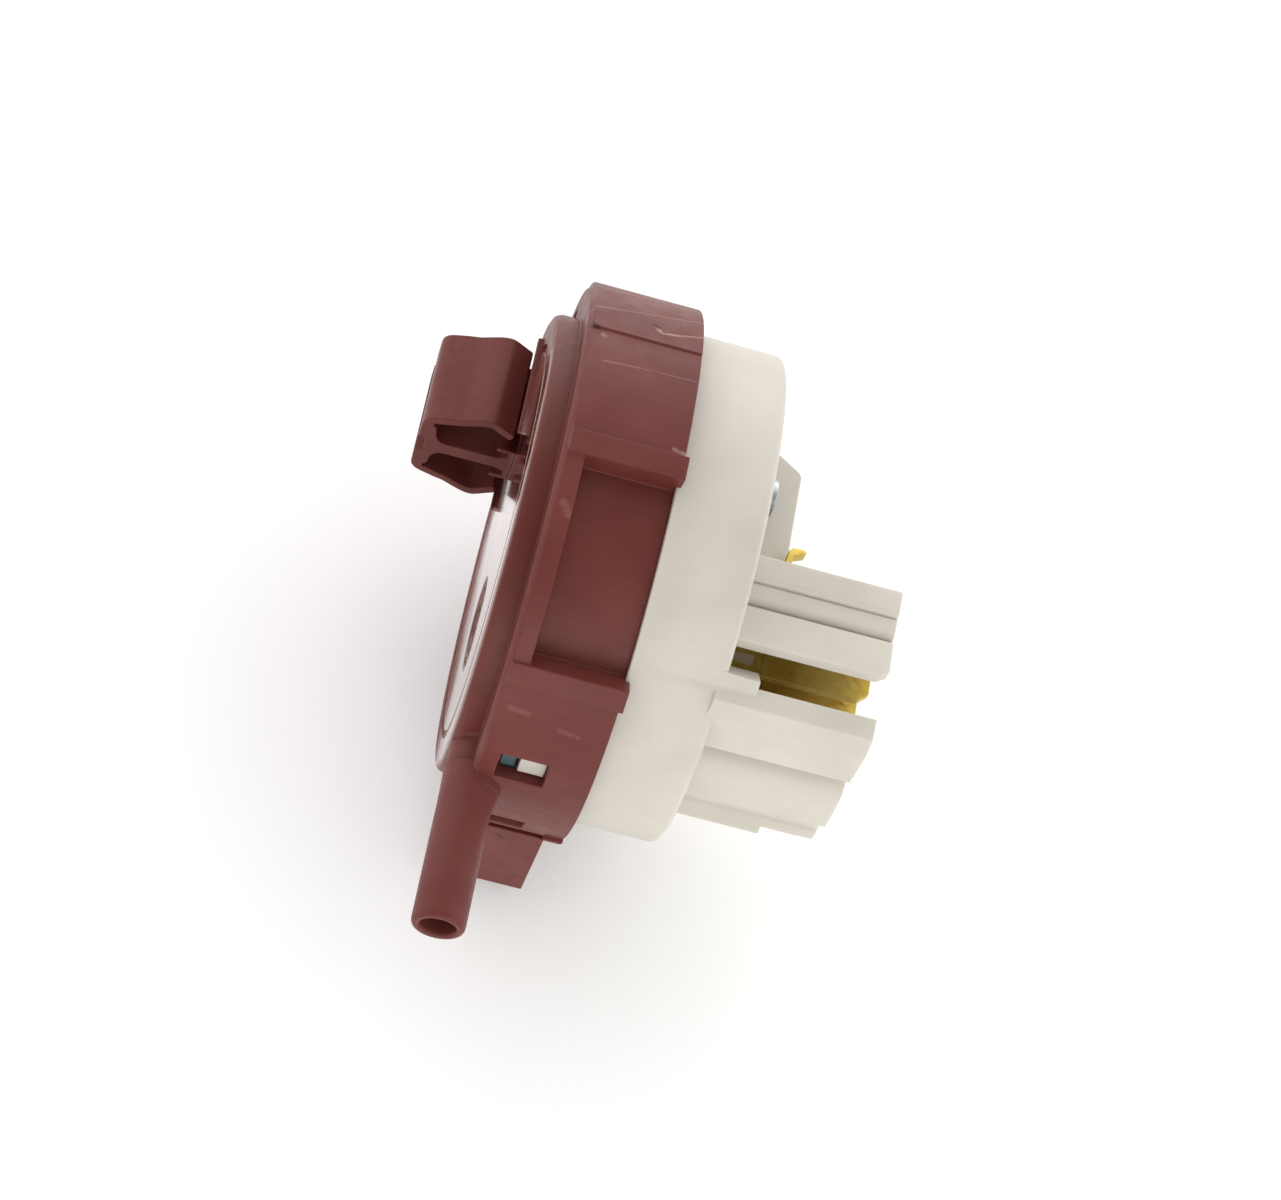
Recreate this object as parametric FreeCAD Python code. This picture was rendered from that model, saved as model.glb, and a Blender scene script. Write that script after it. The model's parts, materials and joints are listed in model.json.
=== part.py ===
"""Washing-machine water-level pressure switch, as separate sub-parts.

Millimetres. The origin is the centre of the flat front face that lies against the panel.
+X runs through the switch to its terminals, -Y is the way the hose nipple points, and +Z is up.
Angles round the X axis are counted from +Z towards -Y.
"""
import FreeCAD, Part
import math
import os
from FreeCAD import Vector

# ---- driving dimensions -------------------------------------------------------------
# base shell
disc_radius = 24.3
disc_edge_round = 0.9
shelf_x = 2.64
rim_radius = 28.0
rim_edge = 0.5
rim_back_x = 14.34
rib_radius = 28.4
rib_overrun = 0.4
rib_overrun_gap = 0.05
pad_shift = 0.5
pad_reach = 28.5
shell_bore_radius = 23.5
pocket_radius = 26.5
pocket_margin_angle = 3.0
seat_x = 5.2
chamber_floor_x = 1.8
chamber_radius = 22.0
recess_radius = 25.0
recess_front_x = 4.9
recess_angles = ((10.0, 53.4), (126.6, 170.0))
rib_width_angle = 5.0
pad_angles = ((-75.0, -23.5), (-156.5, -105.0))

# shallow marks moulded in the front face
groove_radius = 20.1
groove_width = 0.8
groove_depth = 0.3
dimple_radius = 5.0
dimple_y = -10.0

# hooks that hold the two housings together, at these angles
hook_angles = (80.2, 107.0, -73.0, -107.0)
hook_half_angle = 3.7
window_front_x = 4.8
window_back_x = 9.75
hook_front_x = 6.95
hook_back_x = 9.65
hook_radius = 26.9
hook_arm_radius = 25.2
hook_gap_angle = 0.4
ear_margin_angle = 2.0
slit_angles = (-73.0, -107.0)
slit_radius = 25.1

# locating lug on the rim
lug_front_x = 4.4
lug_back_x = 12.7
lug_bottom_y = -25.1
lug_top_y = -22.1
lug_start_z = -11.8
lug_end_z = -26.0
lug_groove_z = (-13.3, -12.5)
lug_groove_depth = 0.9

# low pad beside the lug
low_pad_angles = (111.5, 121.6)
low_pad_x = 12.4

# hose nipple
nipple_x = 2.9
nipple_radius = 2.7
nipple_bore_radius = 1.8
nipple_end_y = -43.8
nipple_seat_y = -28.75
nipple_edge = 0.35
boss_radius = 2.9
boss_root_y = -21.0
passage_radius = 1.5
passage_root_y = -20.5

# mounting clip on the front face
clip_bottom_y = 9.3
clip_top_y = 20.1
clip_tip_x = -10.1
clip_hinge_x = -9.1
clip_hinge_z = 4.8
clip_knuckle_radius = 0.42
clip_knuckle_gap = 0.05
web_half_thickness = 0.9
rail_inner_z = 7.5
rail_thickness = 0.7
rail_height = 0.6
rail_bottom_y = 8.6
rail_top_y = 20.4
clip_recess_depth = 0.12
clip_recess_margin = 0.2

# upper housing
housing_radius = 25.95
housing_wall = 1.6
housing_back_x = 23.7
housing_edge_round = 0.5
skirt_radius = 23.2
skirt_wall = 1.2
skirt_front_x = 6.6

# connector shroud
shroud_end_x = 39.0
shroud_top_y = -6.0
shroud_top_wall = 1.6
shroud_side_z = 19.4
shroud_inner_z = 17.8
shroud_window_top_y = -15.4
shroud_floor_y = -18.8
shroud_far_z = -4.6
shroud_far_wall = 1.7
short_rib_end_x = 33.3
small_floor_y = -15.4
small_far_z = -14.3
small_wall = 1.0
collar_end_x = 26.9
collar_angles = (46.0, 56.0)
corner_chamfer = 1.2
coding_groove_z = 18.35

# terminals: 6.3 x 0.8 blades in one row, two for each switch
switch_pitch = 10.0
switch_places = (-switch_pitch, 0.0, switch_pitch)
blade_offset = 2.5
blade_width = 6.3
blade_thickness = 0.8
blade_y = -11.85
blade_start_x = 27.6
blade_end_x = 38.6
blade_chamfer = 1.0
blade_root_width = 1.4
blade_hole_radius = 0.8
blade_hole_inset = 3.2
slot_clearance = 0.05

# brass test lug: a strip with this outline in (x, y) and a lobe at its end, between two z
test_lug_outline = ((22.6, -1.6), (29.1, -1.6), (29.5, 1.5), (30.5, 1.95), (30.8, 2.25), (30.7, 2.55),
                    (30.2, 2.7), (29.3, 2.6), (28.9, 2.1), (28.5, -0.8), (22.6, -0.8))
test_lug_z = (8.3, 9.5)

# snap contacts
leaf_pivot_x = 15.0
leaf_pivot_y = -9.2
leaf_thickness = 0.4
leaf_half_width = 1.6
leaf_end_y = 3.0
leaf_bead_radius = 0.28
leaf_tongue_half_width = 0.6
contact_y = 1.8
contact_radius = 1.0
rivet_radius = 0.5
rivet_foot_radius = 0.8
rivet_foot_height = 0.3
terminal_strip = 0.8
moving_contact_top_x = 15.7
fixed_contact_x = 17.85
fixed_arm_x = 18.6
pusher_y = -2.2
pusher_radius = 1.0
pusher_gap = 0.1

# diaphragm and its plate
diaphragm_x = 5.9
diaphragm_thickness = 0.6
convolution_radius = 17.75
convolution_height = 2.15
bead_inner_radius = 21.4
bead_outer_radius = 23.1
bead_thickness = 1.4
plate_radius = 15.0
plate_thickness = 1.5
plate_web = 0.9
plate_rim_width = 1.4
plate_hub_radius = 6.0
spring_peg_height = 1.2

# calibration screws, at these (y, z) places
screw_places = ((7.0, 10.5), (7.0, -10.5), (12.0, 0.0))
screw_radius = 1.2
screw_head_radius = 1.9
screw_head_x = 23.8
screw_head_height = 2.5
screw_slot_width = 0.7
screw_slot_depth = 1.1
screw_slot_reach = 1.3
tower_end_x = 29.2
tower_shoulder_x = 26.4
tower_below = 6.4
tower_above = 5.2
tower_shoulder = 7.3
tower_inner = 2.6
tower_outer = 6.0
screw_collar_radius = 4.2
screw_collar_bore = 3.0
screw_collar_end_x = 26.6
screw_tip_x = 13.5
screw_clearance = 0.1
nut_x = 15.8
nut_thickness = 2.0
nut_side = 5.0
guide_wall = 0.8
guide_start_x = 14.0
guide_clearance = 0.1
spring_radius = 1.9
spring_wire = 0.5
spring_turns = 5.5

X_AXIS = Vector(1, 0, 0)
CENTRE = Vector(0, 0, 0)
overlap = 0.3


# ---- helpers ------------------------------------------------------------------------
def box(x0, x1, y0, y1, z0, z1):
    return Part.makeBox(x1 - x0, y1 - y0, z1 - z0, Vector(x0, y0, z0))


def rod(radius, x0, x1, y=0.0, z=0.0):
    return Part.makeCylinder(radius, x1 - x0, Vector(x0, y, z), X_AXIS)


def tube(outer, inner, x0, x1, y=0.0, z=0.0):
    return rod(outer, x0, x1, y, z).cut(rod(inner, x0 - overlap, x1 + overlap, y, z))


def upright(radius, x, y0, y1, z=0.0):
    """Cylinder along Y."""
    return Part.makeCylinder(radius, y1 - y0, Vector(x, y0, z), Vector(0, 1, 0))


def turned(points):
    """Solid of revolution about X from an outline of (x, radius) points."""
    corners = [Vector(x, 0, r) for x, r in points]
    outline = Part.makePolygon(corners + [corners[0]])
    return Part.Face(outline).revolve(CENTRE, X_AXIS, 360)


def sector(r0, r1, x0, x1, angle0, angle1):
    """Part of a ring between two angles round X."""
    corners = [Vector(x0, 0, r0), Vector(x1, 0, r0), Vector(x1, 0, r1), Vector(x0, 0, r1)]
    outline = Part.makePolygon(corners + [corners[0]])
    outline.rotate(CENTRE, X_AXIS, angle0)
    return Part.Face(outline).revolve(CENTRE, X_AXIS, angle1 - angle0)


def along_y(points, y0, y1):
    """Prism along Y from an outline of (x, z) points."""
    corners = [Vector(x, y0, z) for x, z in points]
    outline = Part.makePolygon(corners + [corners[0]])
    return Part.Face(outline).extrude(Vector(0, y1 - y0, 0))


def along_x(points, x0, x1):
    """Prism along X from an outline of (y, z) points."""
    corners = [Vector(x0, y, z) for y, z in points]
    outline = Part.makePolygon(corners + [corners[0]])
    return Part.Face(outline).extrude(Vector(x1 - x0, 0, 0))


def along_z(points, z0, z1):
    """Prism along Z from an outline of (x, y) points."""
    corners = [Vector(x, y, z0) for x, y in points]
    outline = Part.makePolygon(corners + [corners[0]])
    return Part.Face(outline).extrude(Vector(0, 0, z1 - z0))


def joined(shapes):
    whole = shapes[0]
    for shape in shapes[1:]:
        whole = whole.fuse(shape)
    return whole.removeSplitter()


def less(shape, tools):
    for tool in tools:
        shape = shape.cut(tool)
    return shape


def mirrored(points):
    """The same outline on the other side of the XY plane."""
    return [(a, -z) for a, z in points]


def save(shape, node):
    shape.exportStep("parts/" + node + ".step")
    print(node, "valid" if shape.isValid() else "INVALID", "solids", len(shape.Solids),
          "volume", round(shape.Volume, 1))


# ---- base shell ---------------------------------------------------------------------
def base_shell():
    body = turned([
        (0, 0), (0, disc_radius - disc_edge_round),
        (disc_edge_round * 0.3, disc_radius - disc_edge_round * 0.3),
        (disc_edge_round, disc_radius), (shelf_x, disc_radius),
        (shelf_x, rim_radius - rim_edge), (shelf_x + rim_edge, rim_radius),
        (rim_back_x, rim_radius), (rim_back_x, 0)])
    raised = []
    swell = rod(rim_radius, shelf_x + rim_edge, rim_back_x, pad_shift)
    for start, end in pad_angles:
        raised.append(swell.common(sector(chamber_radius, pad_reach, shelf_x, rim_back_x, start, end)))
    for start, end in recess_angles:
        for rib_start in (start - rib_width_angle, end):
            rib_end = rib_start + rib_width_angle
            raised.append(sector(shell_bore_radius, rib_radius, shelf_x + rim_edge, rim_back_x,
                                 rib_start, rib_end))
            raised.append(sector(housing_radius + rib_overrun_gap, rib_radius, rim_back_x - overlap,
                                 rim_back_x + rib_overrun, rib_start, rib_end))
    raised.append(sector(chamber_radius, pad_reach, low_pad_x, rim_back_x, *low_pad_angles))
    lug = box(lug_front_x, lug_back_x, lug_bottom_y, lug_top_y, lug_end_z, lug_start_z)
    boss_x = nipple_x + boss_radius - nipple_radius
    boss = upright(boss_radius, boss_x, nipple_seat_y, boss_root_y)
    solid = joined([body, lug, boss] + raised)

    rail_outer_z = rail_inner_z + rail_thickness
    recess = box(-1, clip_recess_depth, rail_bottom_y - clip_recess_margin,
                 rail_top_y + clip_recess_margin, -rail_outer_z - clip_recess_margin,
                 rail_outer_z + clip_recess_margin)
    rails = [box(-rail_height, clip_recess_depth + overlap, rail_bottom_y, rail_top_y,
                 min(side * rail_inner_z, side * rail_outer_z),
                 max(side * rail_inner_z, side * rail_outer_z)) for side in (-1, 1)]
    groove = tube(groove_radius + groove_width, groove_radius, -1, groove_depth)
    dimple = rod(dimple_radius, -1, groove_depth, dimple_y)
    solid = joined([less(solid, [groove, dimple, recess])] + rails)

    cuts = [rod(chamber_radius, chamber_floor_x, seat_x + overlap)]
    cuts.append(rod(shell_bore_radius, seat_x, rim_back_x + 1))
    for start, end in recess_angles:
        cuts.append(sector(recess_radius, rib_radius + 1, recess_front_x, rim_back_x + 1, start, end))
    for start, end in pocket_angles():
        cuts.append(sector(shell_bore_radius - overlap, pocket_radius, seat_x, rim_back_x + 1, start, end))
    for angle in hook_angles:
        cuts.append(sector(pocket_radius - overlap, pad_reach + 0.1, window_front_x, window_back_x,
                           angle - hook_half_angle, angle + hook_half_angle))
    for angle in slit_angles:
        cuts.append(sector(slit_radius, pocket_radius, shelf_x - 1, seat_x + overlap,
                           angle - hook_half_angle, angle + hook_half_angle))
    cuts.append(upright(passage_radius, nipple_x, nipple_seat_y - 1, passage_root_y))
    cuts.append(box(lug_front_x - 1, lug_back_x + 1, lug_bottom_y - 1, lug_bottom_y + lug_groove_depth,
                    *lug_groove_z))
    return less(solid, cuts)


def hose_nipple():
    """Straight tube for the air hose, on the boss of the base shell."""
    tube_wall = upright(nipple_radius, nipple_x, nipple_end_y, nipple_seat_y)
    mouth = [edge for edge in tube_wall.Edges if abs(edge.CenterOfMass.y - nipple_end_y) < 0.01]
    tube_wall = tube_wall.makeChamfer(nipple_edge, mouth)
    return tube_wall.cut(upright(nipple_bore_radius, nipple_x, nipple_end_y - 1, nipple_seat_y + 1))


def pocket_angles():
    """Ranges of the rim that are hollow behind its outer wall: all but the recesses and their ribs."""
    first, last = recess_angles
    return ((first[1] + pocket_margin_angle, last[0] - pocket_margin_angle),
            (last[1] + pocket_margin_angle - 360.0, first[0] - pocket_margin_angle))


# ---- mounting clip ------------------------------------------------------------------
def clip_stem():
    half = [(clip_recess_depth, 2.7), (-1.9, 2.7), (-1.9, 2.2), (-0.6, 2.2), (-0.6, 1.3),
            (-1.6, web_half_thickness), (-7.2, web_half_thickness), (-8.3, 1.9), (-8.5, 3.6),
            (clip_hinge_x + 0.1, 4.1),
            (clip_hinge_x - 0.2, clip_hinge_z + 0.55), (clip_tip_x + 0.25, clip_hinge_z - 0.2),
            (clip_tip_x, clip_hinge_z - 0.9), (clip_tip_x, 1.2), (clip_tip_x + 0.8, 1.2)]
    stem = along_y(half + mirrored(half)[::-1], clip_bottom_y, clip_top_y)
    seats = []
    for side in (-1, 1):
        seats.append(upright(clip_knuckle_radius + clip_knuckle_gap, clip_hinge_x,
                             clip_bottom_y - 1, clip_top_y + 1, side * clip_hinge_z))
        path = [(clip_hinge_x + 0.05, side * (clip_hinge_z - 0.2)),
                (clip_hinge_x + 1.5, side * (clip_hinge_z - 0.2)),
                (clip_hinge_x + 1.5, side * (clip_hinge_z + 1.5)),
                (clip_hinge_x + 0.05, side * (clip_hinge_z + 1.5))]
        seats.append(along_y(path, clip_bottom_y - 1, clip_top_y + 1))
    return less(stem, seats)


def clip_arm(side):
    outer = [(clip_hinge_x + 0.3, clip_hinge_z + 0.42), (-6.45, 6.0), (-4.6, 6.9), (-2.8, 7.2),
             (-1.9, 6.5), (-0.6, 5.7)]
    inner = [(-0.9, 4.75), (-2.1, 5.5), (-3.0, 6.1), (-4.3, 5.85), (-6.2, 5.0),
             (clip_hinge_x + 1.1, clip_hinge_z - 0.35), (clip_hinge_x + 0.3, clip_hinge_z - 0.2)]
    profile = [(x, side * z) for x, z in outer + inner]
    blade = along_y(profile, clip_bottom_y, clip_top_y)
    knuckle = upright(clip_knuckle_radius, clip_hinge_x, clip_bottom_y, clip_top_y,
                      side * clip_hinge_z)
    return joined([blade, knuckle])


# ---- diaphragm and plate ------------------------------------------------------------
def diaphragm():
    back_x = diaphragm_x + diaphragm_thickness
    middle_x = diaphragm_x + diaphragm_thickness / 2
    inner_edge = convolution_radius - convolution_height
    outer_edge = convolution_radius + convolution_height
    ring = Part.makeTorus(convolution_radius, convolution_height + diaphragm_thickness / 2,
                          Vector(middle_x, 0, 0), X_AXIS)
    hollow = Part.makeTorus(convolution_radius, convolution_height - diaphragm_thickness / 2,
                            Vector(middle_x, 0, 0), X_AXIS)
    roll = ring.cut(hollow).cut(rod(outer_edge + 2, middle_x - 5, middle_x))
    flat = rod(inner_edge + 0.1, diaphragm_x, back_x)
    margin = tube(bead_inner_radius + overlap, outer_edge - 0.1, diaphragm_x, back_x)
    bead = tube(bead_outer_radius, bead_inner_radius, seat_x, seat_x + bead_thickness)
    ears = [sector(bead_inner_radius + 1, pocket_radius - 0.2, seat_x, seat_x + bead_thickness,
                   angle - hook_half_angle - ear_margin_angle,
                   angle + hook_half_angle + ear_margin_angle) for angle in hook_angles]
    return joined([flat, roll, margin, bead] + ears)


def diaphragm_plate():
    front_x = diaphragm_x + diaphragm_thickness
    back_x = front_x + plate_thickness
    plate = rod(plate_radius, front_x, back_x)
    dish = tube(plate_radius - plate_rim_width, plate_hub_radius, front_x + plate_web, back_x + 1)
    islands = [rod(spring_radius + spring_wire, front_x, back_x, y, z) for y, z in screw_places]
    pegs = [rod(spring_radius - spring_wire - 0.1, front_x, back_x + spring_peg_height, y, z)
            for y, z in screw_places]
    pads = [rod(pusher_radius + 0.8, front_x, back_x, pusher_y, place) for place in switch_places]
    return joined([plate.cut(dish)] + islands + pegs + pads)


def pusher(place):
    foot_x = diaphragm_x + diaphragm_thickness + plate_thickness
    top_x = leaf_pivot_x - leaf_thickness / 2 - pusher_gap
    stem = rod(pusher_radius, foot_x, top_x - pusher_radius, pusher_y, place)
    dome = Part.makeSphere(pusher_radius, Vector(top_x - pusher_radius, pusher_y, place))
    return joined([stem, dome])


# ---- snap contacts and terminals ----------------------------------------------------
def contact_leaf(place):
    half = leaf_thickness / 2
    leaf = box(leaf_pivot_x - half, leaf_pivot_x + half, leaf_pivot_y, leaf_end_y,
               place - leaf_half_width, place + leaf_half_width)
    bead = Part.makeCylinder(leaf_bead_radius, 2 * leaf_half_width,
                             Vector(leaf_pivot_x, leaf_pivot_y, place - leaf_half_width))
    window = box(leaf_pivot_x - 1, leaf_pivot_x + 1, leaf_pivot_y + 1.5, pusher_y - 1.8,
                 place - leaf_tongue_half_width, place + leaf_tongue_half_width)
    hole = rod(rivet_radius, leaf_pivot_x - 1, leaf_pivot_x + 1, contact_y, place)
    return less(joined([leaf, bead]), [window, hole])


def moving_contact(place):
    half = leaf_thickness / 2
    head = rod(contact_radius, leaf_pivot_x + half, moving_contact_top_x, contact_y, place)
    shank = rod(rivet_radius, leaf_pivot_x - half, leaf_pivot_x + half, contact_y, place)
    foot = rod(rivet_foot_radius, leaf_pivot_x - half - rivet_foot_height, leaf_pivot_x - half,
               contact_y, place)
    return joined([head, shank, foot])


def fixed_contact(place):
    return rod(contact_radius, fixed_contact_x, fixed_arm_x, contact_y, place)


def blade(z, root_x):
    """Flat terminal with chamfered corners and a narrow root that reaches in to root_x."""
    low = blade_y - blade_width / 2
    high = blade_y + blade_width / 2
    root_low = blade_y - blade_root_width / 2
    root_high = blade_y + blade_root_width / 2
    outline = [(root_x, root_low), (blade_start_x, root_low), (blade_start_x, low),
               (blade_end_x - blade_chamfer, low), (blade_end_x, low + blade_chamfer),
               (blade_end_x, high - blade_chamfer), (blade_end_x - blade_chamfer, high),
               (blade_start_x, high), (blade_start_x, root_high), (root_x, root_high)]
    hole = Part.makeCylinder(blade_hole_radius, 2 * blade_thickness,
                             Vector(blade_end_x - blade_hole_inset, blade_y, z - blade_thickness))
    flat = along_z(outline, z - blade_thickness / 2, z + blade_thickness / 2)
    return flat.cut(hole)


def common_terminal(place):
    """Terminal whose foot carries the pivot of the contact leaf."""
    z = place - blade_offset
    foot = box(leaf_pivot_x - terminal_strip / 2, leaf_pivot_x + terminal_strip / 2,
               blade_y - blade_root_width / 2, leaf_pivot_y - leaf_bead_radius - slot_clearance,
               z - blade_thickness / 2, place + leaf_half_width)
    return joined([blade(z, leaf_pivot_x - terminal_strip / 2), foot])


def switched_terminal(place):
    """Terminal whose arm carries the fixed contact over the leaf."""
    z = place + blade_offset
    arm = box(fixed_arm_x, fixed_arm_x + terminal_strip, blade_y - blade_root_width / 2, leaf_end_y,
              place - leaf_half_width, z + blade_thickness / 2)
    return joined([blade(z, fixed_arm_x), arm])


def test_lug():
    """Brass lug beside the first tower, with a lobe at its end."""
    return along_z(test_lug_outline, *test_lug_z)


# ---- calibration ------------------------------------------------------------------
def calibration_screw(y, z):
    head_end = screw_head_x + screw_head_height
    shank = rod(screw_radius, screw_tip_x, screw_head_x + 0.2, y, z)
    head = rod(screw_head_radius, screw_head_x, head_end, y, z)
    half = screw_slot_width / 2
    reach = screw_slot_reach
    slot = box(head_end - screw_slot_depth, head_end + 1, y - half, y + half, z - reach, z + reach)
    cross = box(head_end - screw_slot_depth, head_end + 1, y - reach, y + reach, z - half, z + half)
    return less(joined([shank, head]), [slot, cross])


def spring_seat(y, z):
    half = nut_side / 2
    block = box(nut_x, nut_x + nut_thickness, y - half, y + half, z - half, z + half)
    return block.cut(rod(screw_radius + 0.05, nut_x - 1, nut_x + nut_thickness + 1, y, z))


def calibration_spring(y, z):
    """Round-wire coil between the plate and the seat, with its axis along X."""
    start_x = diaphragm_x + diaphragm_thickness + plate_thickness + spring_wire / 2
    length = nut_x - spring_wire / 2 - start_x
    helix = Part.makeHelix(length / spring_turns, length, spring_radius)
    circle = Part.Circle(Vector(spring_radius, 0, 0), Vector(0, 1, 0), spring_wire / 2)
    wire = Part.Wire([circle.toShape()])
    coil = Part.Wire(helix).makePipeShell([wire], True, True)
    coil.rotate(CENTRE, Vector(0, 1, 0), 90)
    coil.translate(Vector(start_x, y, z))
    return coil


# ---- upper housing --------------------------------------------------------------------
def connector_shroud():
    """Four-way socket with coding ribs outside, and a smaller two-way socket beyond it."""
    start_x = housing_back_x - overlap
    wall_profile = [(shroud_top_y, shroud_far_z - shroud_far_wall), (shroud_top_y, 20.2),
                    (-8.3, 20.1), (-8.6, 19.8), (-8.7, 19.25), (-9.0, 19.5), (-10.3, 19.3),
                    (-10.8, 18.9), (-10.95, coding_groove_z), (-11.2, 18.95), (-11.7, shroud_side_z),
                    (shroud_window_top_y, shroud_side_z), (shroud_window_top_y, shroud_inner_z),
                    (shroud_floor_y, 10.0), (shroud_floor_y, shroud_far_z - shroud_far_wall)]
    floor_profile = [(shroud_floor_y, 16.9), (-20.9, 16.4), (-21.7, 14.2), (-21.7, 8.4),
                     (-20.3, 8.0), (-20.3, 6.6), (-20.9, 6.25), (-21.45, 5.8), (-21.85, 5.1),
                     (-22.1, 4.1), (-22.3, 2.4), (-22.4, -0.6), (-20.8, -1.0),
                     (-20.8, -4.4), (-21.1, -4.7), (-21.1, shroud_far_z - shroud_far_wall),
                     (shroud_floor_y, shroud_far_z - shroud_far_wall)]
    inside = box(start_x, shroud_end_x + 1, shroud_floor_y, shroud_top_y - shroud_top_wall,
                 shroud_far_z, shroud_inner_z)
    walls = along_x(wall_profile, start_x, shroud_end_x).cut(inside)
    floor = along_x(floor_profile, start_x - housing_edge_round, shroud_end_x)
    short_rib = along_x([(-20.5, -4.75), (-21.1, -4.75), (-22.0, -5.9),
                         (-22.0, shroud_far_z - shroud_far_wall), (-20.5, shroud_far_z - shroud_far_wall)],
                        start_x, short_rib_end_x)
    collar = sector(23.0, housing_radius, housing_back_x - housing_edge_round - overlap, collar_end_x,
                    *collar_angles)
    small_outer = box(start_x, shroud_end_x, small_floor_y - small_wall, shroud_top_y,
                      small_far_z - small_wall, shroud_far_z - shroud_far_wall + overlap)
    small_inner = box(start_x, shroud_end_x + 1, small_floor_y, shroud_top_y - shroud_top_wall,
                      small_far_z, shroud_far_z - shroud_far_wall)
    corner = along_z([(shroud_end_x - corner_chamfer, shroud_window_top_y - 0.1),
                      (shroud_end_x + 0.1, shroud_window_top_y - 0.1),
                      (shroud_end_x + 0.1, shroud_window_top_y + 0.7)],
                     shroud_inner_z - 1, shroud_side_z + 1)
    return joined([walls.cut(corner), floor, short_rib, collar, small_outer.cut(small_inner)])


def tower(y, z, side):
    """Guard wall with a sloping shoulder beside a calibration screw."""
    inner = z - side * tower_inner
    outer = z - side * tower_outer
    outline = [(housing_back_x - overlap, y - tower_below), (tower_end_x, y - tower_below),
               (tower_end_x, y + tower_above), (tower_end_x - 0.3, y + tower_above + 0.5),
               (tower_shoulder_x, y + tower_shoulder), (housing_back_x - overlap, y + tower_shoulder)]
    return along_z(outline, min(inner, outer), max(inner, outer))


def upper_housing():
    rounding = housing_edge_round
    shell = turned([
        (rim_back_x, 0), (rim_back_x, housing_radius), (housing_back_x - rounding, housing_radius),
        (housing_back_x - 0.3 * rounding, housing_radius - 0.3 * rounding),
        (housing_back_x, housing_radius - rounding), (housing_back_x, 0)])
    cavity = rod(skirt_radius - skirt_wall, rim_back_x - 1, housing_back_x - housing_wall)
    skirt = tube(skirt_radius, skirt_radius - skirt_wall, skirt_front_x, rim_back_x + 1.2)
    hooks = []
    for angle in hook_angles:
        start = angle - hook_half_angle + hook_gap_angle
        end = angle + hook_half_angle - hook_gap_angle
        arm = sector(skirt_radius - 0.5, hook_arm_radius, hook_front_x, rim_back_x + 1.0, start, end)
        nose = sector(hook_arm_radius - overlap, hook_radius, hook_front_x, hook_back_x, start, end)
        hooks.extend([arm, nose])
    guides = []
    for y, z in screw_places:
        for side in (-1, 1):
            near = side * (nut_side / 2 + guide_clearance)
            far = side * (nut_side / 2 + guide_clearance + guide_wall)
            guides.append(box(guide_start_x, housing_back_x - housing_wall + overlap,
                              y + min(near, far), y + max(near, far),
                              z - nut_side / 2, z + nut_side / 2))
    towers = [tower(*screw_places[0], 1), tower(*screw_places[1], -1)]
    collar = tube(screw_collar_radius, screw_collar_bore, housing_back_x - overlap, screw_collar_end_x,
                  *screw_places[2])
    solid = joined([shell.cut(cavity), skirt, connector_shroud(), collar]
                   + hooks + guides + towers)
    inside = housing_back_x - housing_wall - 1
    outside = housing_back_x + 1
    cuts = [rod(screw_radius + screw_clearance, inside, outside, y, z) for y, z in screw_places]
    for place in switch_places:
        for z in (place - blade_offset, place + blade_offset):
            half = blade_thickness / 2 + slot_clearance
            reach = blade_root_width / 2 + slot_clearance
            cuts.append(box(inside, outside, blade_y - reach, blade_y + reach, z - half, z + half))
    cuts.append(box(inside, outside, test_lug_outline[0][1] - 0.1, test_lug_outline[-1][1] + 0.15,
                    test_lug_z[0] - 0.1, test_lug_z[1] + 0.1))
    return less(solid, cuts)


# ---- write every sub-part -------------------------------------------------------------
os.makedirs("parts", exist_ok=True)
save(base_shell(), "base_shell")
save(hose_nipple(), "hose_nipple")
save(upper_housing(), "upper_housing")
save(clip_stem(), "clip_stem")
save(clip_arm(1), "clip_arm_near")
save(clip_arm(-1), "clip_arm_far")
save(diaphragm(), "diaphragm")
save(diaphragm_plate(), "diaphragm_plate")
save(test_lug(), "test_lug")
for number, place in enumerate(switch_places, 1):
    save(pusher(place), "pusher_%d" % number)
    save(contact_leaf(place), "contact_leaf_%d" % number)
    save(moving_contact(place), "moving_contact_%d" % number)
    save(fixed_contact(place), "fixed_contact_%d" % number)
    save(common_terminal(place), "common_terminal_%d" % number)
    save(switched_terminal(place), "switched_terminal_%d" % number)
for number, (y, z) in enumerate(screw_places, 1):
    save(calibration_screw(y, z), "calibration_screw_%d" % number)
    save(spring_seat(y, z), "spring_seat_%d" % number)
    save(calibration_spring(y, z), "calibration_spring_%d" % number)
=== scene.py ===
"""Looks of the water-level pressure switch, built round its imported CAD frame.

Metres, in the row frame: +X runs from the front face to the terminals, -Y is the way the
nipple points, and +Z is up. Materials work in millimetres, and count angles round X from +Z
towards -Y, as the CAD source does.
"""
import json
import math

import bmesh
import bpy
from mathutils import Matrix, Vector


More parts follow.
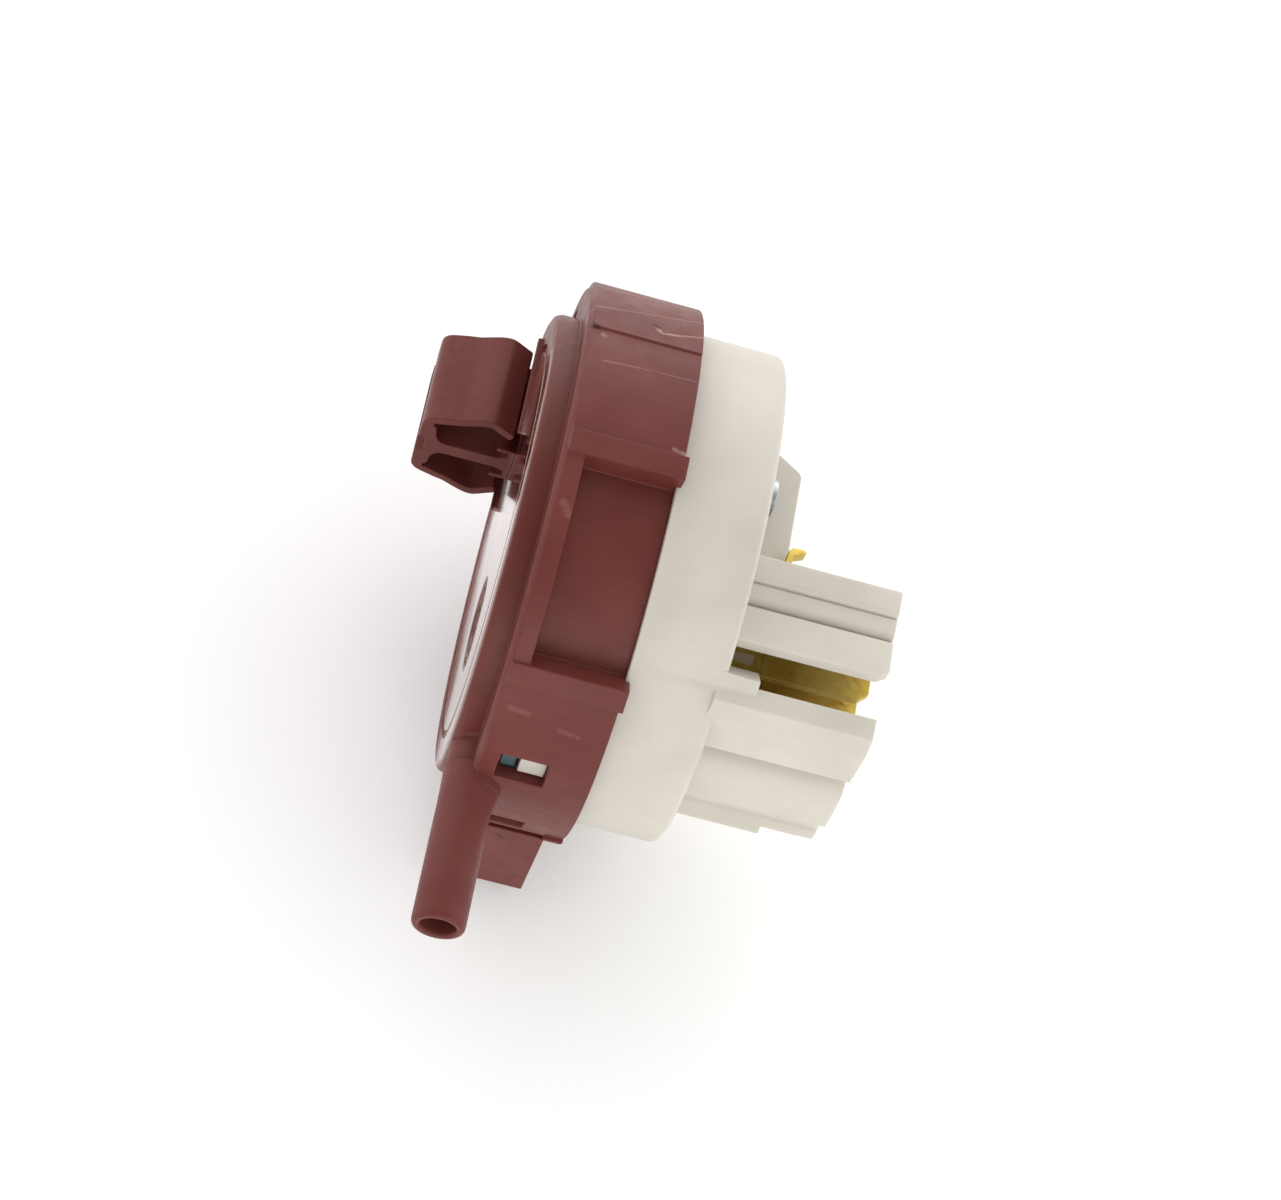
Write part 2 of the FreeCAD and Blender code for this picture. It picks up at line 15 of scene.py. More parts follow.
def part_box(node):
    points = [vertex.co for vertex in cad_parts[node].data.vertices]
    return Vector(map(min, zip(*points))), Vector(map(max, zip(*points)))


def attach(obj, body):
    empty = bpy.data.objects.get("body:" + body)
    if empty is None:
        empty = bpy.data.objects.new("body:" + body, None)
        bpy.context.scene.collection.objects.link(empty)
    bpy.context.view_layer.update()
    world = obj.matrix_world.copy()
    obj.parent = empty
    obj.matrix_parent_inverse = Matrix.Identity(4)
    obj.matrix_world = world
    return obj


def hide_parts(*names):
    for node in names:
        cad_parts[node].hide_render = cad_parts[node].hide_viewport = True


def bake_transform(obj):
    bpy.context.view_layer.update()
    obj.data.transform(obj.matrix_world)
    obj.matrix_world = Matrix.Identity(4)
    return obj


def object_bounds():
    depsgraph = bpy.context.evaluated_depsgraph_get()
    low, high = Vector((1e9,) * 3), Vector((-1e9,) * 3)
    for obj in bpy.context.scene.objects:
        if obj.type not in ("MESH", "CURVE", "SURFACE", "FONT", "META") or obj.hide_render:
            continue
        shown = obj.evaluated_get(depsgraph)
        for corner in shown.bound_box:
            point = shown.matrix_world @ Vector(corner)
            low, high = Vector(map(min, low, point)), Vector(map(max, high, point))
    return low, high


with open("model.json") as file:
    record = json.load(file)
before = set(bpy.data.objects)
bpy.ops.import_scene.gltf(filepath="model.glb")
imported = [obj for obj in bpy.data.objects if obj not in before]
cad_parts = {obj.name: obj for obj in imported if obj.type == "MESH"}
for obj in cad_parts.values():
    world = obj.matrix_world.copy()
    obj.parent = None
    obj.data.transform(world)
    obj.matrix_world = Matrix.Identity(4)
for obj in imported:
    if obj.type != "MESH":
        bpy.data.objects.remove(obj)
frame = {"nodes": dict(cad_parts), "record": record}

cad_low, cad_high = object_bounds()
MM = 0.001

# ---- camera and studio ----------------------------------------------------------------
camera_place = Vector((-20.13, -181.11, 297.53)) * MM
camera_right = Vector((0.96213, 0.16550, 0.21662))
camera_up = Vector((-0.25205, 0.84276, 0.47566))
camera_lens = 95.25
sensor_width = 36.0
floor_size = 6.0
floor_colour = (0.95, 0.95, 0.945)
floor_glow = 0.09
sky_bright = 1.62
sky_toward_camera = 0.50

# ---- edge rounding ---------------------------------------------------------------------
sharp_angle = math.radians(28)
housing_sharp_angle = math.radians(50)
base_edge = 0.14 * MM
housing_edge = 0.12 * MM
stamped_edge = 0.07 * MM
lug_edge = 0.16 * MM
flat_within = math.radians(0.4)
most_corners = 8
bevel_steps = 3
weld_gap = 1e-6
coil_weld_gap = 1e-7

# ---- hose nipple, in millimetres: (y, centre x, radius) of its outer rings --------------
nipple_rings = ((-26.6, 3.25, 3.15), (-27.5, 3.16, 3.02), (-28.6, 3.08, 2.92), (-29.6, 2.99, 2.79),
                (-30.8, 2.92, 2.71), (-32.5, 2.9, 2.7), (-36.0, 2.9, 2.7), (-40.0, 2.9, 2.7),
                (-43.0, 2.9, 2.7), (-43.4, 2.9, 2.67), (-43.65, 2.9, 2.55), (-43.78, 2.9, 2.38),
                (-43.8, 2.9, 2.2), (-43.76, 2.9, 2.0), (-43.6, 2.9, 1.86), (-43.3, 2.9, 1.8),
                (-36.0, 2.9, 1.8), (-29.0, 2.9, 1.8), (-28.8, 2.9, 1.5))
tube_facets = 64

# ---- what stays sharp on the base shell, in millimetres: the boss under the tube --------
boss_root_y = -23.3
boss_half_z = 3.2
boss_top_x = 7.0
# and the shallow recess that the clip stands in
recess_depth = 0.12
recess_half_z = 8.45
recess_low_y = 8.35
recess_high_y = 20.65
recess_slack = 0.01

# ---- clip, in millimetres: outlines in (x, z) of its upper half -------------------------
clip_bottom_y = 9.3
clip_top_y = 20.1
clip_edge = 0.13
stem_foot = ((0.12, 2.7), (-1.9, 2.7), (-1.9, 2.2), (-0.6, 2.2), (-0.6, 1.3), (-1.6, 0.9))
stem_flare = ((-7.0, 0.9), (-7.6, 1.05), (-8.1, 1.55), (-8.32, 2.3), (-8.4, 3.0), (-8.5, 3.45),
              (-8.78, 3.75), (-8.86, 4.0), (-8.72, 4.24), (-8.22, 4.38))
stem_corner = ((-8.5, 5.34), (-9.1, 5.13), (-9.6, 4.82), (-9.92, 4.4), (-10.07, 3.9), (-10.1, 3.3))
stem_notch = ((-10.1, 1.2), (-9.3, 1.2))
arm_outer = ((-8.5, 5.34), (-7.4, 5.7), (-6.3, 6.0), (-5.3, 6.5), (-4.4, 6.93), (-3.6, 7.17),
             (-2.9, 7.15), (-2.3, 6.83), (-1.4, 6.2), (-0.75, 5.78))
arm_end = ((-0.64, 5.6), (-0.7, 5.3), (-0.86, 4.9))
arm_inner = ((-1.0, 4.76), (-1.6, 5.1), (-2.2, 5.5), (-2.9, 6.0), (-3.4, 6.1), (-4.1, 5.93),
             (-5.0, 5.55), (-6.1, 5.05), (-7.2, 4.72), (-8.22, 4.38))


# ---- shader helper ---------------------------------------------------------------------
class Shader:
    """A material's node tree, with short ways to add the nodes used here."""

    def __init__(self, name):
        self.material = bpy.data.materials.new(name)
        self.material.use_nodes = True
        self.tree = self.material.node_tree
        self.tree.nodes.clear()
        self.bsdf = self.tree.nodes.new("ShaderNodeBsdfPrincipled")
        out = self.tree.nodes.new("ShaderNodeOutputMaterial")
        self.tree.links.new(self.bsdf.outputs["BSDF"], out.inputs["Surface"])
        coords = self.tree.nodes.new("ShaderNodeTexCoord")
        scale = self.node("ShaderNodeVectorMath", operation="SCALE")
        self.feed(scale.inputs[0], coords.outputs["Object"])
        scale.inputs["Scale"].default_value = 1.0 / MM
        self.place = scale.outputs[0]
        split = self.node("ShaderNodeSeparateXYZ")
        self.feed(split.inputs[0], self.place)
        self.x, self.y, self.z = split.outputs

    def node(self, kind, **settings):
        made = self.tree.nodes.new(kind)
        for key, value in settings.items():
            setattr(made, key, value)
        return made

    def feed(self, socket, value):
        if isinstance(value, bpy.types.NodeSocket):
            self.tree.links.new(value, socket)
        else:
            socket.default_value = value

    def math(self, operation, a, b=0.0, clamp=False):
        made = self.node("ShaderNodeMath", operation=operation, use_clamp=clamp)
        self.feed(made.inputs[0], a)
        self.feed(made.inputs[1], b)
        return made.outputs[0]

    def step(self, value, low, high, out_low=0.0, out_high=1.0):
        """value from low to high becomes out_low to out_high, smoothly."""
        made = self.node("ShaderNodeMapRange", interpolation_type="SMOOTHSTEP")
        for socket, given in zip(made.inputs, (value, low, high, out_low, out_high)):
            self.feed(socket, given)
        return made.outputs[0]

    def stretched(self, x, y, z):
        """The place in millimetres, scaled along each axis, for streaked textures."""
        made = self.node("ShaderNodeVectorMath", operation="MULTIPLY")
        self.feed(made.inputs[0], self.place)
        made.inputs[1].default_value = (x, y, z)
        return made.outputs[0]

    def noise(self, scale, detail=3.0, roughness=0.5, at=None):
        made = self.node("ShaderNodeTexNoise")
        self.feed(made.inputs["Vector"], at or self.place)
        made.inputs["Scale"].default_value = scale
        made.inputs["Detail"].default_value = detail
        made.inputs["Roughness"].default_value = roughness
        return made.outputs["Fac"]

    def mix(self, share, a, b):
        made = self.node("ShaderNodeMix", data_type="RGBA")
        self.feed(made.inputs["Factor"], share)
        for socket, colour in ((made.inputs[6], a), (made.inputs[7], b)):
            linked = isinstance(colour, bpy.types.NodeSocket)
            self.feed(socket, colour if linked else (*colour, 1.0))
        return made.outputs[2]

    def bump(self, height, depth_mm, normal=None):
        made = self.node("ShaderNodeBump")
        made.inputs["Distance"].default_value = depth_mm * MM
        self.feed(made.inputs["Height"], height)
        if normal is not None:
            self.feed(made.inputs["Normal"], normal)
        return made.outputs["Normal"]

    def angle(self):
        """Angle round X in degrees, from +Z towards -Y."""
        minus_y = self.math("MULTIPLY", self.y, -1.0)
        return self.math("DEGREES", self.math("ARCTAN2", minus_y, self.z))

    def radius(self):
        squares = self.math("ADD", self.math("MULTIPLY", self.y, self.y),
                            self.math("MULTIPLY", self.z, self.z))
        return self.math("SQRT", squares)

    def stroke(self, flat, start, end, width, share):
        """share along the line between two points of a flat map in millimetres, with soft sides."""
        along = Vector((end[0] - start[0], end[1] - start[1], 0.0))
        reach = max(along.length_squared, 1e-6)
        from_start = self.node("ShaderNodeVectorMath", operation="SUBTRACT")
        self.feed(from_start.inputs[0], flat)
        from_start.inputs[1].default_value = (start[0], start[1], 0.0)
        part = self.node("ShaderNodeVectorMath", operation="DOT_PRODUCT")
        self.feed(part.inputs[0], from_start.outputs[0])
        part.inputs[1].default_value = along / reach
        held = self.math("MAXIMUM", self.math("MINIMUM", part.outputs["Value"], 1.0), 0.0)
        nearest = self.node("ShaderNodeVectorMath", operation="SCALE")
        nearest.inputs[0].default_value = along
        self.feed(nearest.inputs["Scale"], held)
        away = self.node("ShaderNodeVectorMath", operation="DISTANCE")
        self.feed(away.inputs[0], from_start.outputs[0])
        self.feed(away.inputs[1], nearest.outputs[0])
        return self.step(away.outputs["Value"], width, width * 0.25, 0.0, share)

    def set(self, **values):
        for name, value in values.items():
            self.feed(self.bsdf.inputs[name.replace("_", " ")], value)


# ---- materials -------------------------------------------------------------------------
# marks on the rim: (x, angle) of both ends, width in millimetres, share of the worn colour
scratches = (((9.5, -28.8), (10.1, -27.3), 0.30, 0.95), ((10.1, -27.3), (11.6, -28.0), 0.26, 0.95),
             ((11.6, -28.0), (14.4, -30.2), 0.24, 0.70), ((4.7, -13.3), (8.2, -14.0), 0.20, 0.30),
             ((8.2, -14.0), (14.0, -14.4), 0.15, 0.20), ((13.1, 3.9), (14.3, 4.4), 0.34, 0.60),
             ((3.9, 20.5), (4.6, 22.5), 0.60, 0.16), ((4.4, -21.5), (4.5, -21.4), 0.50, 0.55),
             ((2.6, -31.2), (14.2, -37.7), 0.18, 0.40), ((4.0, -45.0), (13.6, -47.0), 0.20, 0.25),
             ((4.2, 63.8), (6.0, 64.2), 0.45, 0.14), ((9.4, 66.3), (11.4, 66.9), 0.40, 0.12),
             ((5.0, -118.0), (12.0, -121.0), 0.25, 0.40), ((6.0, 150.0), (11.0, 146.0), 0.22, 0.35),
             ((4.0, -160.0), (9.0, -163.0), 0.25, 0.35))
nicks = (((9.2, -29.6), (9.6, -29.2), 0.45, 0.8), ((3.1, -23.6), (3.6, -23.4), 0.45, 0.7),
         ((8.0, 120.0), (8.6, 121.0), 0.40, 0.5))
rim_radius = 28.0


def maroon_plastic():
    s = Shader("maroon_plastic")
    angle, radius = s.angle(), s.radius()
    cloud = s.noise(0.12, 2.0)
    grain = s.noise(2.6, 4.0, 0.6)
    colour = s.mix(s.step(cloud, 0.35, 0.65), (0.128, 0.0270, 0.0215), (0.146, 0.0340, 0.0275))

    # faint lines that the mould leaves along the draw direction, made lighter and stronger towards
    # the top of the rim as a painted highlight where the light falls
    draw_lines = s.noise(1.0, 3.0, 0.55, s.stretched(0.03, 1.6, 1.6))
    # painted highlight: the light draw lines count more towards the top of the rim
    upper = s.step(s.y, 4.0, 20.0, 0.35, 1.0)
    draw_lines_and_top_highlight = s.math("MULTIPLY", s.step(draw_lines, 0.52, 0.76, 0.0, 0.13), upper)
    colour = s.mix(draw_lines_and_top_highlight, colour, (0.27, 0.12, 0.105))

    # scratches and nicks of handling
    flat = s.node("ShaderNodeCombineXYZ")
    s.feed(flat.inputs[0], s.x)
    s.feed(flat.inputs[1], s.math("MULTIPLY", angle, math.radians(rim_radius)))

    def drawn_marks(marks):
        total = 0.0
        for start, end, width, share in marks:
            ends = [(x, a * math.radians(rim_radius)) for x, a in (start, end)]
            total = s.math("MAXIMUM", total, s.stroke(flat.outputs[0], *ends, width, share))
        return total

    worn, dark = drawn_marks(scratches), drawn_marks(nicks)
    outer = s.step(radius, 27.2, 27.7)
    breaks = s.step(s.noise(0.9, 4.0, 0.7), 0.34, 0.50, 0.25, 1.0)
    worn = s.math("MULTIPLY", s.math("MULTIPLY", worn, outer), breaks)
    dark = s.math("MULTIPLY", dark, outer)
    colour = s.mix(worn, colour, (0.43, 0.23, 0.20))
    colour = s.mix(dark, colour, (0.045, 0.010, 0.009))

    # the flat front face is polished, with long flow streaks, and pale streaks of painted
    # reflection on it
    streaks = s.noise(0.22, 4.0, 0.6, s.stretched(1.0, 0.30, 1.3))
    face = s.math("MULTIPLY", s.step(s.x, 0.95, 0.75), s.step(radius, 24.1, 23.3))
    face = s.math("MULTIPLY", face, s.step(s.x, -0.3, -0.1))
    face = s.math("MULTIPLY", face, s.step(s.y, 12.5, 6.0))
    ragged = s.math("ADD", s.z, s.math("MULTIPLY", streaks, 16.0))
    face = s.math("MULTIPLY", face, s.step(ragged, -9.0, 3.0))
    # painted reflection: pale pinkish streaks on the glossy front face stand in for the bright
    # surroundings it mirrors
    painted_streak_reflection = s.math("MULTIPLY", face, s.step(streaks, 0.38, 0.64, 0.0, 0.12))
    colour = s.mix(painted_streak_reflection, colour, (0.46, 0.36, 0.34))
    matt = s.step(s.noise(0.5, 3.0), 0.3, 0.7, 0.38, 0.48)
    gloss = s.step(streaks, 0.35, 0.7, 0.09, 0.20)
    share = s.node("ShaderNodeMix", data_type="FLOAT")
    s.feed(share.inputs[0], face)
    s.feed(share.inputs[2], matt)
    s.feed(share.inputs[3], gloss)
    rough = s.math("ADD", share.outputs[0], s.math("MULTIPLY", worn, 0.15), clamp=True)

    normal = s.bump(grain, 0.010)
    normal = s.bump(draw_lines, 0.02, normal)
    normal = s.bump(s.math("MULTIPLY", streaks, face), 0.06, normal)
    normal = s.bump(s.math("ADD", worn, s.math("MULTIPLY", dark, -2.0)), 0.04, normal)
    s.set(Base_Color=colour, Roughness=rough, Normal=normal)
    shade_side = s.math("MULTIPLY", s.step(s.z, -8.0, -16.0), s.step(s.x, 0.95, 0.75))
    s.set(IOR=1.5, Specular_IOR_Level=s.step(shade_side, 0.0, 1.0, 0.22, 0.04))
    s.set(Coat_Weight=face, Coat_Roughness=0.08, Coat_IOR=1.7, Coat_Tint=(0.97, 0.89, 0.86, 1.0))
    return s.material


def ivory_plastic():
    s = Shader("ivory_plastic")
    cloud = s.noise(0.09, 3.0)
    colour = s.mix(s.step(cloud, 0.35, 0.65), (0.552, 0.514, 0.450), (0.598, 0.561, 0.497))
    specks = s.step(s.noise(3.2, 2.0, 0.5), 0.66, 0.74)
    colour = s.mix(s.math("MULTIPLY", specks, 0.5), colour, (0.49, 0.44, 0.36))
    grain = s.noise(5.0, 3.0, 0.6)
    waves = s.noise(0.25, 2.0)
    normal = s.bump(grain, 0.008)
    normal = s.bump(waves, 0.06, normal)
    s.set(Base_Color=colour, Normal=normal, Roughness=s.step(cloud, 0.3, 0.7, 0.42, 0.52))
    s.set(IOR=1.48, Specular_IOR_Level=0.35, Subsurface_Weight=0.20,
          Subsurface_Radius=(0.9, 0.8, 0.6), Subsurface_Scale=1.5 * MM)
    return s.material


def natural_plastic():
    s = Shader("natural_plastic")
    cloud = s.noise(0.2, 3.0)
    colour = s.mix(cloud, (0.66, 0.65, 0.60), (0.76, 0.75, 0.70))
    s.set(Base_Color=colour, Normal=s.bump(s.noise(4.0), 0.01),
          Roughness=s.step(cloud, 0.3, 0.7, 0.36, 0.46))
    s.set(Subsurface_Weight=0.15, Subsurface_Radius=(0.8, 0.7, 0.5), Subsurface_Scale=1.0 * MM)
    return s.material


def teal_rubber():
    s = Shader("teal_rubber")
    cloud = s.noise(0.3, 4.0)
    colour = s.mix(cloud, (0.060, 0.105, 0.118), (0.085, 0.140, 0.150))
    s.set(Base_Color=colour, Normal=s.bump(s.noise(6.0, 3.0, 0.6), 0.02),
          Roughness=s.step(cloud, 0.3, 0.7, 0.5, 0.62))
    return s.material


def brass():
    s = Shader("brass")
    cloud = s.noise(0.22, 4.0, 0.6)
    rolled = s.noise(1.4, 3.0, 0.5, s.stretched(0.15, 2.5, 2.5))
    colour = s.mix(s.step(cloud, 0.35, 0.65), (0.50, 0.355, 0.07), (0.66, 0.51, 0.15))
    tarnish = s.step(s.noise(0.8, 5.0, 0.7), 0.55, 0.75, 0.0, 0.5)
    colour = s.mix(tarnish, colour, (0.27, 0.15, 0.03))
    s.set(Base_Color=colour, Normal=s.bump(rolled, 0.012),
          Roughness=s.step(rolled, 0.3, 0.7, 0.30, 0.44))
    s.set(Metallic=1.0)
    return s.material


def spring_bronze():
    s = Shader("spring_bronze")
    rolled = s.noise(1.4, 3.0, 0.5, s.stretched(2.5, 0.15, 2.5))
    colour = s.mix(s.noise(0.4, 3.0), (0.50, 0.28, 0.13), (0.66, 0.42, 0.22))
    s.set(Base_Color=colour, Normal=s.bump(rolled, 0.01),
          Roughness=s.step(rolled, 0.3, 0.7, 0.26, 0.38))
    s.set(Metallic=1.0)
    return s.material


def bare_metal(name, dark, light, rough_low, rough_high):
    """Plain metal with cloudy colour and fine turning marks."""
    s = Shader(name)
    marks = s.noise(2.2, 3.0, 0.6, s.stretched(4.0, 0.6, 0.6))
    colour = s.mix(s.noise(0.5, 4.0), dark, light)
    s.set(Base_Color=colour, Normal=s.bump(marks, 0.012),
          Roughness=s.step(marks, 0.3, 0.7, rough_low, rough_high))
    s.set(Metallic=1.0)
    return s.material


materials = {
    "maroon_plastic": maroon_plastic(),
    "ivory_plastic": ivory_plastic(),
    "natural_plastic": natural_plastic(),
    "teal_rubber": teal_rubber(),
    "brass": brass(),
    "spring_bronze": spring_bronze(),
    "contact_silver": bare_metal("contact_silver", (0.72, 0.72, 0.70), (0.86, 0.86, 0.84),
                                 rough_low=0.22, rough_high=0.36),
    "zinc_steel": bare_metal("zinc_steel", (0.40, 0.43, 0.48), (0.52, 0.55, 0.60),
                             rough_low=0.24, rough_high=0.38),
    "spring_steel": bare_metal("spring_steel", (0.42, 0.42, 0.43), (0.58, 0.58, 0.58),
                               rough_low=0.25, rough_high=0.40),
}
slot_of = {part["node"]: part["material_slot"] for part in frame["record"]["subparts"]}
bodies = frame["record"]["behaviour"]["bodies"]
body_of = {node: body for body, nodes in bodies.items() for node in nodes}


# ---- pieces ----------------------------------------------------------------------------
def placed(mesh, name, node):
    """Put a finished mesh in the scene, to stand for a CAD node."""
    mesh.materials.clear()
    mesh.materials.append(materials[slot_of[node]])
    piece = bpy.data.objects.new(name, mesh)
    bpy.context.scene.collection.objects.link(piece)
    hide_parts(node)
    return piece


def smooth_mesh(shape, name):
    """Turn a finished bmesh into a mesh that shades smoothly."""
    for face in shape.faces:
        face.smooth = True
    mesh = bpy.data.meshes.new(name)
    shape.to_mesh(mesh)
    shape.free()
    return mesh


def flatten_normals(piece):
    """Shade large faces flat, and let the rounded edges turn the light."""
    flat = piece.modifiers.new("flat_faces", "WEIGHTED_NORMAL")
    flat.weight = 90


def softened(node, width, kept=None, sharper_than=sharp_angle):
    """A copy of a CAD node with its sharp edges rounded, but for those that kept names."""
    mesh = frame["nodes"][node].data.copy()
    shape = bmesh.new()
    shape.from_mesh(mesh)
    bmesh.ops.remove_doubles(shape, verts=shape.verts, dist=weld_gap)
    bmesh.ops.dissolve_limit(shape, angle_limit=flat_within, verts=shape.verts, edges=shape.edges)
    many_sided = [face for face in shape.faces if len(face.verts) > most_corners]
    bmesh.ops.triangulate(shape, faces=many_sided)
    weight = shape.edges.layers.float.new("bevel_weight_edge")
    for edge in shape.edges:
        sharp = len(edge.link_faces) == 2 and edge.calc_face_angle() > sharper_than
        if sharp and not (kept and kept(edge)):
            edge[weight] = 1.0
    for face in shape.faces:
        face.smooth = True
    shape.to_mesh(mesh)
    shape.free()
    piece = placed(mesh, node + "_soft", node)
    bevel = piece.modifiers.new("rounded", "BEVEL")
    bevel.limit_method = "WEIGHT"
    bevel.width = width
    bevel.segments = bevel_steps
    bevel.use_clamp_overlap = False
    flatten_normals(piece)
    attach(piece, body_of[node])
    return piece


def curve_through(points, steps=5):
    """Points of a smooth curve through the given ones."""
    padded = [points[0]] + list(points) + [points[-1]]
    curve = []
    for p0, p1, p2, p3 in zip(padded, padded[1:], padded[2:], padded[3:]):
        for step in range(steps):
            t = step / steps
            curve.append(tuple(
                0.5 * (2 * b + (c - a) * t + (2 * a - 5 * b + 4 * c - d) * t * t
                       + (3 * b - a - 3 * c + d) * t ** 3)
                for a, b, c, d in zip(p0, p1, p2, p3)))
    return curve + [tuple(points[-1])]


def extruded(outline, y0, y1, open_from, edge_width):
    """Prism along Y from an (x, z) outline; sides that start at the given points are left open."""
    shape = bmesh.new()
    low, high = ([shape.verts.new(Vector((x, y, z)) * MM) for x, z in outline] for y in (y0, y1))
    count = len(outline)
    for i in range(count):
        if outline[i] not in open_from:
            shape.faces.new((low[i], low[(i + 1) % count], high[(i + 1) % count], high[i]))
    ends = [shape.faces.new(low), shape.faces.new(high)]
    bmesh.ops.recalc_face_normals(shape, faces=shape.faces)
    rim = [edge for end in ends for edge in end.edges if len(edge.link_faces) == 2]
    bmesh.ops.bevel(shape, geom=rim, offset=edge_width * MM, segments=bevel_steps, profile=0.5,
                    affect="EDGES", clamp_overlap=True)
    return smooth_mesh(shape, "extruded")


def clip():
    """The clip as one moulding: the stem goes with the housing, and its two arms are walls of their
    own.
    """
    half = (list(stem_foot) + curve_through(stem_flare) + curve_through(stem_corner)
            + list(stem_notch))
    butt = stem_flare[-1]
    far_half = [(x, -z) for x, z in reversed(half)]
    far_butt = (stem_corner[0][0], -stem_corner[0][1])
    mesh = extruded(half + far_half, clip_bottom_y, clip_top_y, (butt, far_butt), clip_edge)
    stem = placed(mesh, "clip_body", "clip_stem")
    flatten_normals(stem)
    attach(stem, "housing")
    for side, node in ((1, "clip_arm_near"), (-1, "clip_arm_far")):
        outline = curve_through(arm_outer) + list(arm_end) + curve_through(arm_inner)
        outline = [(x, side * z) for x, z in outline]
        mesh = extruded(outline, clip_bottom_y, clip_top_y, (outline[-1],), clip_edge)
        arm = placed(mesh, node + "_wall", node)
        flatten_normals(arm)
        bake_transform(arm)


def hose_nipple():
    """Tube that swells smoothly into the boss of the base shell."""
    shape = bmesh.new()
    rings = []
    for y, centre_x, ring_radius in nipple_rings:
        ring = []
        for i in range(tube_facets):
            turn = 2 * math.pi * i / tube_facets
            across, height = ring_radius * math.cos(turn), ring_radius * math.sin(turn)
            ring.append(shape.verts.new(Vector((centre_x + across, y, height)) * MM))
        rings.append(ring)
    for low, high in zip(rings, rings[1:]):
        for i in range(tube_facets):
            after = (i + 1) % tube_facets
            shape.faces.new((low[i], low[after], high[after], high[i]))
    bmesh.ops.recalc_face_normals(shape, faces=shape.faces)
    mesh = smooth_mesh(shape, "hose_nipple_tube")
    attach(placed(mesh, "hose_nipple_tube", "hose_nipple"), "housing")


def coil_half(node, name, middle, upper):
    """One half of a coil, cut square to its length."""
    shape = bmesh.new()
    shape.from_mesh(frame["nodes"][node].data)
    bmesh.ops.remove_doubles(shape, verts=shape.verts, dist=coil_weld_gap)
    everything = shape.verts[:] + shape.edges[:] + shape.faces[:]
    cut = bmesh.ops.bisect_plane(shape, geom=everything, dist=coil_weld_gap,
                                 plane_co=(middle, 0, 0), plane_no=(1, 0, 0),
                                 clear_inner=upper, clear_outer=not upper)
    rim = [thing for thing in cut["geom_cut"] if isinstance(thing, bmesh.types.BMEdge)]
    bmesh.ops.holes_fill(shape, edges=rim)
    return placed(smooth_mesh(shape, name), name, node)


def springs():
    """The three coils, each cut at its middle into a half at the plate end and a half at the seat
    end.
    """
    for number in (1, 2, 3):
        node = "calibration_spring_%d" % number
        low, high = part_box(node)
        middle = (low.x + high.x) / 2
        seat = "seat_%d" % number
        for name, end, body in (("_plate_half", low.x, "plate"), ("_seat_half", high.x, seat)):
            half = coil_half(node, node + name, middle, end > middle)
            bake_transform(half)


def stays_sharp(edge):
    """True at the boss that the tube stands on, and round the shallow recess of the clip."""
    def inside(place):
        x, y, z = place / MM
        in_recess = (-recess_slack < x < recess_depth + recess_slack
                     and abs(z) < recess_half_z and recess_low_y < y < recess_high_y)
        at_boss = y < boss_root_y and abs(z) < boss_half_z and x < boss_top_x
        return at_boss or in_recess
    return all(inside(vert.co) for vert in edge.verts)


for node, thing in frame["nodes"].items():
    thing.data.materials.clear()
    thing.data.materials.append(materials[slot_of[node]])

softened("base_shell", base_edge, stays_sharp)
softened("upper_housing", housing_edge, sharper_than=housing_sharp_angle)
softened("test_lug", lug_edge)
for number in (1, 2, 3):
    for name in ("common_terminal_%d", "switched_terminal_%d", "calibration_screw_%d"):
        softened(name % number, stamped_edge)
clip()
hose_nipple()
springs()


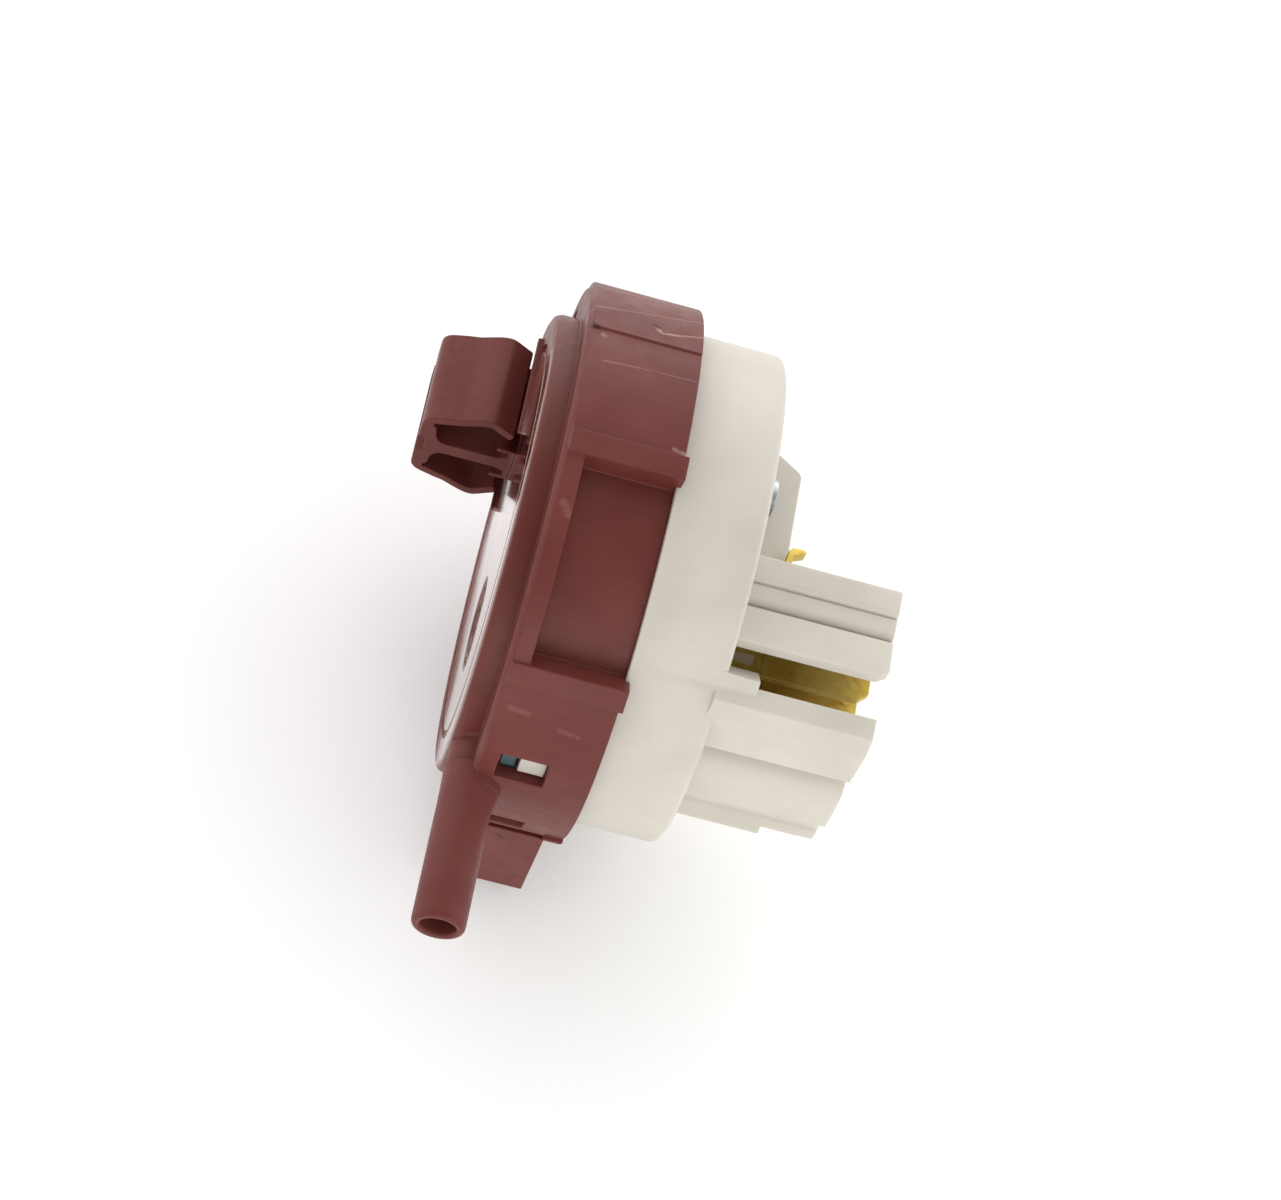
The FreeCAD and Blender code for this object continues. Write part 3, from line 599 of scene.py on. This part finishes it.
# ---- studio ----------------------------------------------------------------------------
def plain_floor():
    shape = bmesh.new()
    bmesh.ops.create_grid(shape, x_segments=1, y_segments=1, size=floor_size / 2)
    mesh = bpy.data.meshes.new("floor")
    shape.to_mesh(mesh)
    shape.free()
    floor = bpy.data.objects.new("floor", mesh)
    floor.location.z = cad_low.z
    bpy.context.scene.collection.objects.link(floor)
    s = Shader("pale_floor")
    s.set(Base_Color=(*floor_colour, 1.0), Roughness=0.9)
    s.set(Emission_Color=(1.0, 1.0, 1.0, 1.0), Emission_Strength=floor_glow)
    mesh.materials.append(s.material)


def studio_sky():
    """White light from all round, a little dimmer from behind the camera."""
    world = bpy.data.worlds.new("studio")
    bpy.context.scene.world = world
    world.use_nodes = True
    tree = world.node_tree
    back = tree.nodes["Background"]
    coords = tree.nodes.new("ShaderNodeTexCoord")
    toward = tree.nodes.new("ShaderNodeVectorMath")
    toward.operation = "DOT_PRODUCT"
    toward.inputs[1].default_value = camera_right.cross(camera_up)
    tree.links.new(coords.outputs["Generated"], toward.inputs[0])
    spread = tree.nodes.new("ShaderNodeMapRange")
    spread.interpolation_type = "SMOOTHSTEP"
    for socket, value in zip(spread.inputs[1:5], (0.25, 0.95, sky_bright, sky_toward_camera)):
        socket.default_value = value
    tree.links.new(toward.outputs["Value"], spread.inputs[0])
    tree.links.new(spread.outputs[0], back.inputs["Strength"])
    back.inputs["Color"].default_value = (1.0, 1.0, 1.0, 1.0)


def soft_light(name, place, size, power):
    data = bpy.data.lights.new(name, "AREA")
    data.size = size
    data.energy = power
    light = bpy.data.objects.new(name, data)
    light.location = place
    light.rotation_mode = "QUATERNION"
    light.rotation_quaternion = Vector(place).to_track_quat("Z", "Y")
    bpy.context.scene.collection.objects.link(light)


def studio_camera():
    data = bpy.data.cameras.new("camera")
    data.lens = camera_lens
    data.sensor_width = sensor_width
    data.clip_start = 0.01
    camera = bpy.data.objects.new("camera", data)
    turn = Matrix((camera_right, camera_up, camera_right.cross(camera_up))).transposed()
    camera.matrix_world = Matrix.Translation(camera_place) @ turn.to_4x4()
    bpy.context.scene.collection.objects.link(camera)
    bpy.context.scene.camera = camera


plain_floor()
studio_sky()
soft_light("top", place=(-0.10, 0.75, 0.25), size=0.6, power=1.0)
soft_light("below", place=(0.12, -0.80, 0.22), size=0.7, power=2.6)
studio_camera()
bpy.context.scene.view_settings.view_transform = "Standard"
